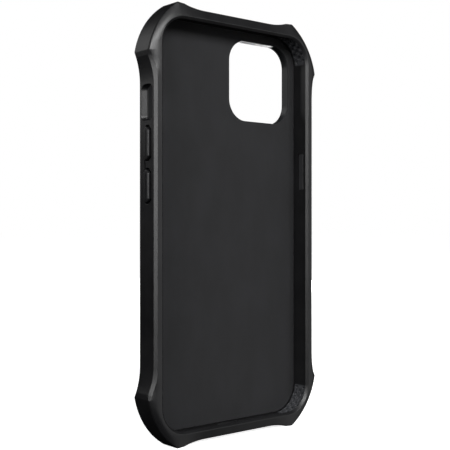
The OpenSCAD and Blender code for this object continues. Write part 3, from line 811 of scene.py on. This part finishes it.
def grained(name, dark, light, rough, grain, depth):
    """Moulded plastic or rubber with a fine eroded grain, faint flow marks and a little uneven gloss."""
    n = Nodes(name, dark, rough)
    slow, fine = n.noise(0.011, 3.0), n.noise(grain, 2.0)
    n.colour(n.tint(n.spread(slow, 0, 1, 0.35, 0.65), dark, light))
    broad = n.spread(slow, rough - 0.03, rough + 0.03, 0.3, 0.7)
    n.rough(n.math("ADD", broad, n.spread(fine, -0.04, 0.04, 0.3, 0.7)))
    under = n.relief(n.noise(0.004, 1.0), 0.00001, 0.35)
    n.relief(n.math("ADD", fine, n.math("MULTIPLY", n.cells(grain * 1.6), 0.6)), depth, 0.6, under)
    return n.material


def twill(name):
    """A two-over-two twill of dark aramid tows under a satin resin."""
    n = Nodes(name, (0.02, 0.021, 0.023), 0.38, Coat_Weight=0.35, Coat_Roughness=0.22)
    pitch = 0.0011
    split = n.add("ShaderNodeSeparateXYZ")
    fit = n.add("ShaderNodeMapping")
    fit.inputs["Scale"].default_value = (1 / pitch,) * 3
    n.feed(fit.inputs["Vector"], n.place)
    n.feed(split.inputs[0], fit.outputs[0])
    u, v = split.outputs["X"], split.outputs["Z"]
    cell_u, cell_v = n.math("FLOOR", u), n.math("FLOOR", v)
    step = n.math("FLOORED_MODULO", n.math("SUBTRACT", cell_u, cell_v), 4.0)
    warp = n.math("LESS_THAN", step, 1.5)

    def crown(t):
        side = n.math("SUBTRACT", n.math("MULTIPLY", n.math("FRACT", t), 2.0), 1.0)
        height = n.math("SUBTRACT", 1.0, n.math("MULTIPLY", side, side))
        return n.math("SQRT", n.math("MAXIMUM", height, 0.0))

    weft = n.math("SUBTRACT", 1.0, warp)
    height = n.math("ADD", n.math("MULTIPLY", warp, crown(u)), n.math("MULTIPLY", weft, crown(v)))
    shade = n.math("ADD", n.math("MULTIPLY", warp, 0.55), n.spread(n.noise(0.003), 0, 0.45))
    n.colour(n.tint(shade, (0.012, 0.0125, 0.014), (0.045, 0.047, 0.052)))
    n.rough(n.math("ADD", n.math("MULTIPLY", warp, 0.14), n.spread(n.noise(0.0004), 0.28, 0.42)))
    under = n.relief(height, 0.00009, 0.8)
    strands = n.noise(0.00018, 1.0)
    n.relief(strands, 0.00001, 0.4, under)
    return n.material


def microfibre(name):
    """A short brushed nap, with soft lighter and darker strokes."""
    n = Nodes(name, (0.004, 0.0042, 0.005), 0.95, Sheen_Weight=0.05, Sheen_Roughness=0.5)
    strokes = n.noise(0.009, 3.0, 0.6, (1.0, 1.0, 0.45))
    nap = n.noise(0.00035, 3.0, 0.7)
    shade = n.math("ADD", n.spread(strokes, 0, 0.6, 0.35, 0.65), n.spread(nap, 0, 0.4, 0.3, 0.7))
    n.colour(n.tint(shade, (0.0024, 0.0025, 0.0032), (0.0062, 0.0064, 0.0078)))
    n.rough(n.spread(nap, 0.85, 1.0))
    under = n.relief(strokes, 0.00006, 0.5)
    n.relief(nap, 0.00005, 0.9, under)
    return n.material


def brushed(name, dark, light, rough, stretch):
    """Metal with fine brush or roll marks."""
    n = Nodes(name, light, rough, 1.0)
    lines = n.noise(0.0006, 4.0, 0.65, stretch)
    n.colour(n.tint(n.spread(n.noise(0.006), 0, 1, 0.3, 0.7), dark, light))
    n.rough(n.spread(lines, rough - 0.08, rough + 0.1, 0.3, 0.7))
    n.relief(lines, 0.000004, 0.5)
    return n.material


def film(name):
    """A thin grey film with a faint crinkle."""
    n = Nodes(name, (0.1, 0.105, 0.11), 0.5)
    n.colour(n.tint(n.noise(0.004), (0.085, 0.09, 0.095), (0.12, 0.125, 0.13)))
    n.rough(n.spread(n.noise(0.0012), 0.4, 0.6))
    n.relief(n.noise(0.002, 3.0), 0.00003, 0.6)
    return n.material


# ---------------------------------------- stage, light and camera

LIGHT_AIM = 0.078  # metres above the floor


def area_light(name, azimuth, elevation, distance, wide, tall, watts):
    """A softbox that faces the case. Azimuth 0 is in front of the screen and 90 at the case's left side."""
    a, e = math.radians(azimuth), math.radians(elevation)
    light = bpy.data.lights.new(name, "AREA")
    light.shape, light.size, light.size_y, light.energy = "RECTANGLE", wide, tall, watts
    lamp = bpy.data.objects.new(name, light)
    aim = Vector((0, 0, LIGHT_AIM))
    out = Vector((-math.sin(a) * math.cos(e), -math.cos(a) * math.cos(e), math.sin(e)))
    lamp.location = aim + distance * out
    lamp.rotation_euler = (aim - lamp.location).to_track_quat("-Z", "Y").to_euler()
    bpy.context.scene.collection.objects.link(lamp)


def floor():
    """A pale floor that fades to white, seen by the camera alone, so that it adds no light to the case."""
    bm = bmesh.new()
    bmesh.ops.create_circle(bm, cap_ends=True, segments=64, radius=6.0)
    mesh = bpy.data.meshes.new("floor")
    bm.to_mesh(mesh)
    bm.free()
    obj = bpy.data.objects.new("floor", mesh)
    bpy.context.scene.collection.objects.link(obj)
    n = Nodes("floor", (0.8, 0.8, 0.8), 0.9, Specular_IOR_Level=0.0)
    n.shader.inputs["Emission Color"].default_value = (1, 1, 1, 1)
    away = n.add("ShaderNodeVectorMath", operation="LENGTH")
    n.feed(away.inputs[0], n.place)
    n.feed(n.shader.inputs["Emission Strength"], n.spread(away.outputs["Value"], 0.8, 1.0, 0.05, 0.4))
    n.rough(n.spread(n.noise(0.02), 0.85, 0.95))
    mesh.materials.append(n.material)
    obj.visible_glossy = False
    obj.visible_diffuse = False
    obj.visible_shadow = False


def studio():
    """White surroundings that only the camera sees, and five softboxes."""
    scene = bpy.context.scene
    scene.view_settings.view_transform = "Standard"
    world = bpy.data.worlds.new("white")
    scene.world = world
    world.use_nodes = True
    world.node_tree.nodes["Background"].inputs["Color"].default_value = (1, 1, 1, 1)
    world.node_tree.nodes["Background"].inputs["Strength"].default_value = 1.0
    world.cycles_visibility.glossy = False
    world.cycles_visibility.diffuse = False
    area_light("key", 70, 12, 0.8, 0.56, 0.44, 4.3)
    area_light("front", 12, 29, 0.8, 0.8, 0.3, 9.0)
    area_light("side", 147, 28, 0.7, 0.26, 0.44, 0.46)
    area_light("fill", -42, -8, 0.9, 1.1, 1.3, 2.6)
    area_light("back", 238, 0, 0.9, 0.45, 0.35, 9.0)


def camera():
    """A level camera at the screen's height, as in the photograph."""
    data = bpy.data.cameras.new("camera")
    data.lens, data.sensor_width, data.sensor_fit = 70.678, 36.0, "HORIZONTAL"
    data.clip_start, data.clip_end = 0.01, 20
    obj = bpy.data.objects.new("camera", data)
    obj.location = (-0.21183, -0.25098, MID_Z * MM)
    obj.rotation_euler = (math.radians(90), 0, math.radians(-39.866))
    bpy.context.scene.collection.objects.link(obj)
    bpy.context.scene.camera = obj


# ---------------------------------------- the whole model

def dress(node, material):
    """Gives a carried-over CAD node its material."""
    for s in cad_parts[node].material_slots:
        s.link = "OBJECT"
        s.material = material


def build():
    """Makes every piece and its material, then the stage."""
    camera()
    tpu, shell, guard, key_hard, key_soft, foam, carrier = (grained(*look) for look in MOULDED)
    steel = brushed("shield steel", (0.4, 0.41, 0.43), (0.48, 0.49, 0.51), 0.32, (1, 1, 0.06))
    nickel = brushed("magnet nickel", (0.56, 0.57, 0.59), (0.66, 0.67, 0.69), 0.2, (1, 1, 0.5))
    trim = brushed("trim anodised", (0.05, 0.05, 0.055), (0.09, 0.09, 0.1), 0.3, (0.08, 1, 1))

    bumper_frame(tpu)
    back_shell(shell)
    back_inlay(twill("inlay twill"))
    pocket_lining(microfibre("lining microfibre"))
    camera_guard(guard)
    camera_trim(trim)
    for name in KEYS:
        key_solid(name, key_hard)
        key_gasket(name, key_soft)
        key_pad(name, key_soft)
    for name, (sx, sz) in CORNERS.items():
        corner_pad("corner_pad_" + name, sx, sz, foam)

    dress("inlay_adhesive", film("adhesive film"))
    dress("magnet_carrier", carrier)
    dress("magnet_shield", steel)
    for node in ["alignment_magnet"] + [f"ring_magnet_{i:02d}" for i in range(1, 19)]:
        dress(node, nickel)

    floor()
    studio()


build()
